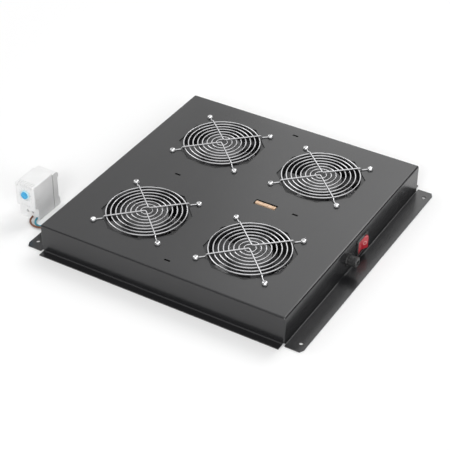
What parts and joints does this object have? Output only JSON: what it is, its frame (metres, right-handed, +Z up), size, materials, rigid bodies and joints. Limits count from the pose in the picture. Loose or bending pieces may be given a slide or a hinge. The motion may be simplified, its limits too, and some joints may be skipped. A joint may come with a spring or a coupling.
{
  "type": "rack fan tray",
  "caption": "Low folded-steel rack tray with a grid of axial fans under wire finger guards, a lit rocker switch, a fuse holder and a separate thermostat on two leads.",
  "frame": {"origin": "centre of the four flange holes, on the underside of the flanges", "axes": "+Z up through the top plate, -Y towards the switch at the front, +X towards the right of someone facing the switch"},
  "size_m": [0.42, 0.486, 0.06],
  "materials": {
    "black_powder_coat": "fine matt powder coat",
    "fan_frame_black": "satin",
    "impeller_plastic": "satin",
    "winding": "varnished winding",
    "chrome_wire": "bright",
    "plated_screw": "bright",
    "black_plastic": "satin",
    "red_lens": "gloss",
    "tin_plate": "bright",
    "fuse_glass": "clear",
    "beige_plastic": "matt",
    "black_rubber": "matt",
    "light_grey_plastic": "fine matt",
    "blue_plastic": "satin",
    "brown_insulation": "satin",
    "blue_insulation": "satin",
    "black_insulation": "satin"
  },
  "bodies": {
    "tray": {"fan_frame_front_left": "fan_frame_black", "fan_frame_front_right": "fan_frame_black", "fan_frame_rear_left": "fan_frame_black", "fan_frame_rear_right": "fan_frame_black", "fan_leads": "black_insulation", "fan_nuts": "plated_screw", "fan_screws": "plated_screw", "fan_stators": "winding", "finger_guard_front_left": "chrome_wire", "finger_guard_front_right": "chrome_wire", "finger_guard_rear_left": "chrome_wire", "finger_guard_rear_right": "chrome_wire", "fuse_holder": "black_plastic", "fuse_holder_nut": "black_plastic", "fuse_holder_tabs": "tin_plate", "fuse_lead": "black_insulation", "lead_blue": "blue_insulation", "lead_brown": "brown_insulation", "motor_base_front_left": "fan_frame_black", "motor_base_front_right": "fan_frame_black", "motor_base_rear_left": "fan_frame_black", "motor_base_rear_right": "fan_frame_black", "switch_housing": "black_plastic", "switch_lead": "black_insulation", "switch_tabs": "tin_plate", "terminal_block": "beige_plastic", "terminal_block_screws": "plated_screw", "thermostat_housing": "light_grey_plastic", "thermostat_inner_lead": "black_insulation", "thermostat_rail_clip": "light_grey_plastic", "thermostat_terminal_screws": "plated_screw", "tray_front": "black_powder_coat", "tray_left": "black_powder_coat", "tray_rear": "black_powder_coat", "tray_right": "black_powder_coat", "tray_top": "black_powder_coat", "wall_grommets": "black_rubber"},
    "impeller_front_left": {"impeller_front_left": "impeller_plastic"},
    "impeller_front_right": {"impeller_front_right": "impeller_plastic"},
    "impeller_rear_left": {"impeller_rear_left": "impeller_plastic"},
    "impeller_rear_right": {"impeller_rear_right": "impeller_plastic"},
    "rocker": {"switch_rocker": "red_lens"},
    "fuse_carrier": {"fuse_carrier": "tin_plate", "fuse_link": "fuse_glass"},
    "fuse_cap": {"fuse_cap": "black_plastic"},
    "dial": {"thermostat_dial": "blue_plastic"}
  },
  "joints": [
    {"name": "spin_front_left", "type": "hinge", "parent": "tray", "child": "impeller_front_left", "pos_m": [-0.1, -0.0825, 0.024], "axis": [0, 0, 1], "continuous": true},
    {"name": "spin_front_right", "type": "hinge", "parent": "tray", "child": "impeller_front_right", "pos_m": [0.1, -0.0825, 0.024], "axis": [0, 0, 1], "continuous": true},
    {"name": "spin_rear_left", "type": "hinge", "parent": "tray", "child": "impeller_rear_left", "pos_m": [-0.1, 0.0825, 0.024], "axis": [0, 0, 1], "continuous": true},
    {"name": "spin_rear_right", "type": "hinge", "parent": "tray", "child": "impeller_rear_right", "pos_m": [0.1, 0.0825, 0.024], "axis": [0, 0, 1], "continuous": true},
    {"name": "switch_rock", "type": "hinge", "parent": "tray", "child": "rocker", "pos_m": [0.0155, -0.188, 0.022], "axis": [0, 0, 1], "range_deg": [0, 22]},
    {"name": "fuse_pull", "type": "slide", "parent": "tray", "child": "fuse_carrier", "axis": [0, -1, 0], "range_m": [0, 0.03]},
    {"name": "fuse_cap_turn", "type": "hinge", "parent": "fuse_carrier", "child": "fuse_cap", "pos_m": [-0.0245, -0.195, 0.022], "axis": [0, -1, 0], "range_deg": [0, 60]},
    {"name": "dial_turn", "type": "hinge", "parent": "tray", "child": "dial", "pos_m": [-0.1525, 0.2525, 0.043], "axis": [-1, 0, 0], "range_deg": [-135, 135]}
  ]
}
